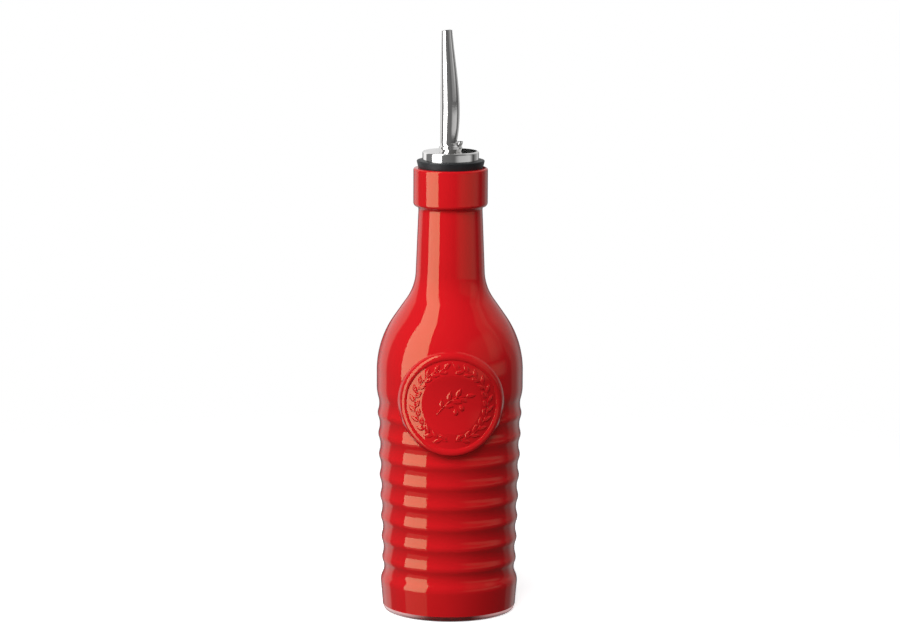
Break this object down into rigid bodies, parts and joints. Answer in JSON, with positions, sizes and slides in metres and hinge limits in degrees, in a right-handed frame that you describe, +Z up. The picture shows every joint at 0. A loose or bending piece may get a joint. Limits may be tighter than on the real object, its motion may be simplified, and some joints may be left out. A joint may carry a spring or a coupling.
{
  "type": "oil bottle",
  "caption": "Ribbed lacquered glass oil bottle with a raised round seal, a rubber stopper and a bowed steel pouring spout that turns and lifts out.",
  "frame": {"origin": "centre of the ring that the bottle stands on, on the ground", "axes": "+Z up along the bottle's axis; the raised seal faces -Y; at rest the spout pours towards -X"},
  "size_m": [0.065, 0.0666, 0.2598],
  "materials": {
    "lacquered_glass": "clear glass under an opaque glossy red lacquer",
    "black_rubber": "smooth moulded rubber",
    "polished_steel": "polished stainless steel"
  },
  "bodies": {
    "bottle": {"bottle": "lacquered_glass"},
    "stopper": {"stopper": "black_rubber"},
    "pourer": {"collar": "polished_steel", "inlet_tube": "polished_steel", "spout": "polished_steel", "vent_tube": "polished_steel"}
  },
  "joints": [
    {"name": "stopper_lift", "type": "slide", "parent": "bottle", "child": "stopper", "axis": [0, 0, 1], "range_m": [0, 0.06]},
    {"name": "spout_turn", "type": "hinge", "parent": "stopper", "child": "pourer", "pos_m": [0, 0, 0.2024], "axis": [0, 0, 1], "continuous": true}
  ]
}
